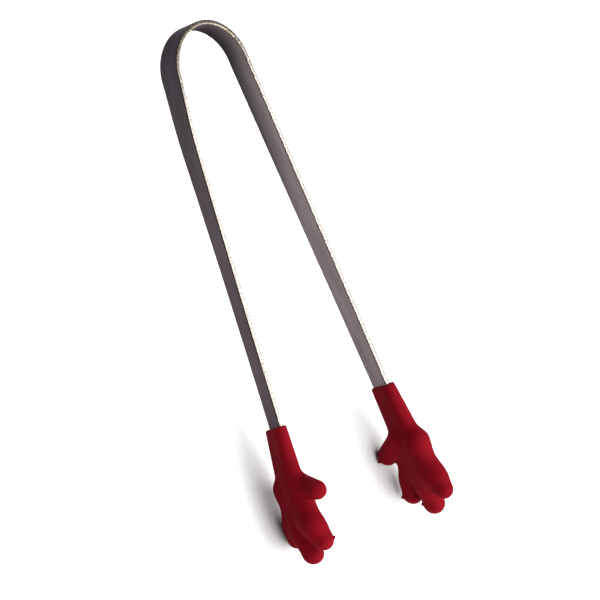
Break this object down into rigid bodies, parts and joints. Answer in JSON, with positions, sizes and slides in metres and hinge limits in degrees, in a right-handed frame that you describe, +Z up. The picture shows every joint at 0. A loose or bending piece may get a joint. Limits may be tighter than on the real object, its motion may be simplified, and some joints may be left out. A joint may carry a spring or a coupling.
{
  "type": "hand-tipped tongs",
  "caption": "Small spring-strip tongs with a moulded silicone hand at each end, for picking up wet prints, ice or snacks.",
  "frame": {"origin": "on the surface that the tongs lie on, under the middle of the whole part", "axes": "+X across the opening, +Y along the tongs towards the bend, +Z up, across the strip's width"},
  "size_m": [0.0458, 0.127, 0.0189],
  "materials": {
    "steel": "brushed",
    "silicone": "satin"
  },
  "bodies": {
    "bend": {"crown": "steel"},
    "left_side": {"left_arm": "steel", "left_hand": "silicone"},
    "right_side": {"right_arm": "steel", "right_hand": "silicone"}
  },
  "joints": [
    {"name": "left_flex", "type": "hinge", "parent": "bend", "child": "left_side", "pos_m": [-0.01092, 0.05286, 0.00943], "axis": [0, 0, 1], "range_deg": [-2, 8.4], "stiffness_Nm_per_rad": 3.5, "deforming": ["crown"]},
    {"name": "right_flex", "type": "hinge", "parent": "bend", "child": "right_side", "pos_m": [0.01092, 0.05286, 0.00943], "axis": [0, 0, -1], "range_deg": [-2, 8.4], "stiffness_Nm_per_rad": 3.5, "deforming": ["crown"]}
  ]
}
